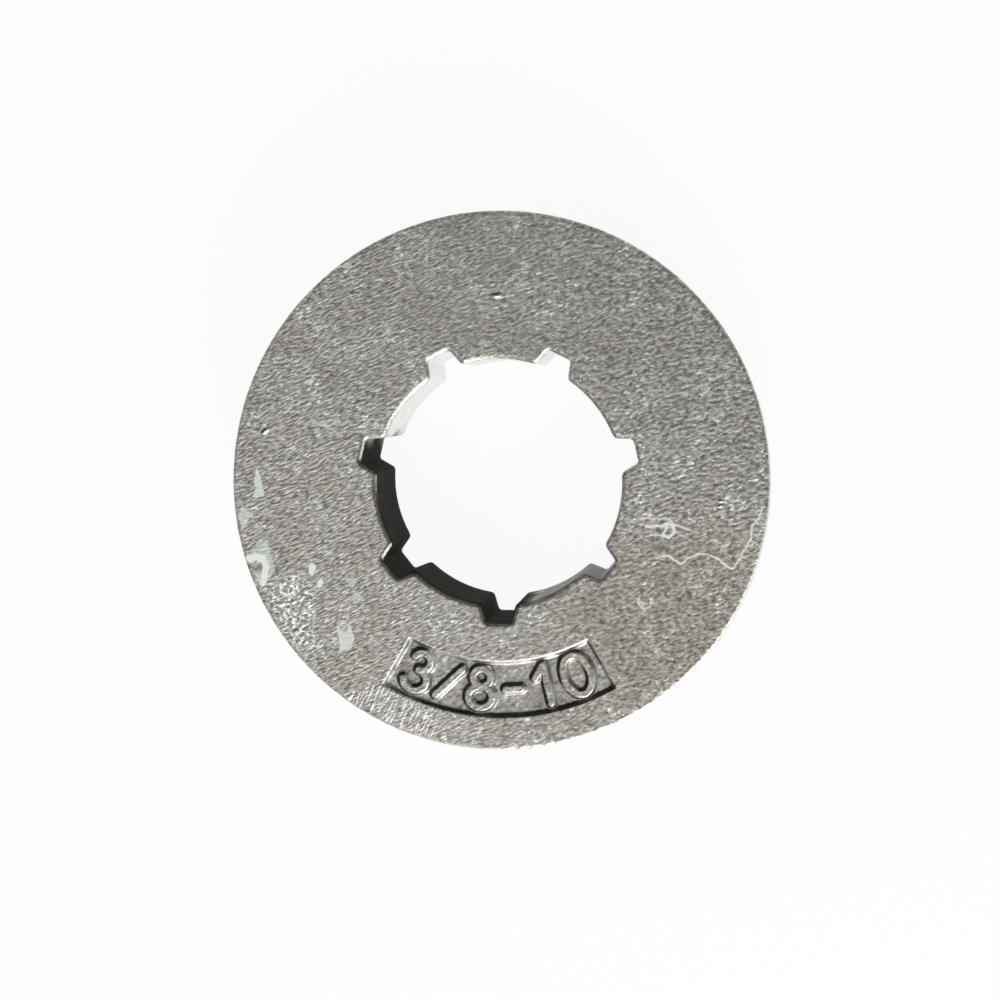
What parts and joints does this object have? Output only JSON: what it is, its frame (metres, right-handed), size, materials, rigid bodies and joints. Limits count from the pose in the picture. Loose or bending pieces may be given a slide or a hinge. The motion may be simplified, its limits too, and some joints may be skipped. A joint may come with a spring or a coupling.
{
  "type": "chainsaw rim sprocket",
  "caption": "Flat steel ring with a splined bore, a chain groove with tooth pockets round its rim and a sunk size panel: it drives a saw chain from the clutch drum.",
  "frame": {"origin": "on the bore axis, at the back face that the ring lies on", "axes": "+Z along the bore axis towards the front face with the size panel; the panel and one spline slot are on the -Y side"},
  "size_m": [0.055, 0.055, 0.013],
  "materials": {
    "cast_steel": "satin as-cast steel with a fine blasted grain"
  },
  "bodies": {
    "root": {"rim_sprocket": "cast_steel"}
  },
  "joints": []
}
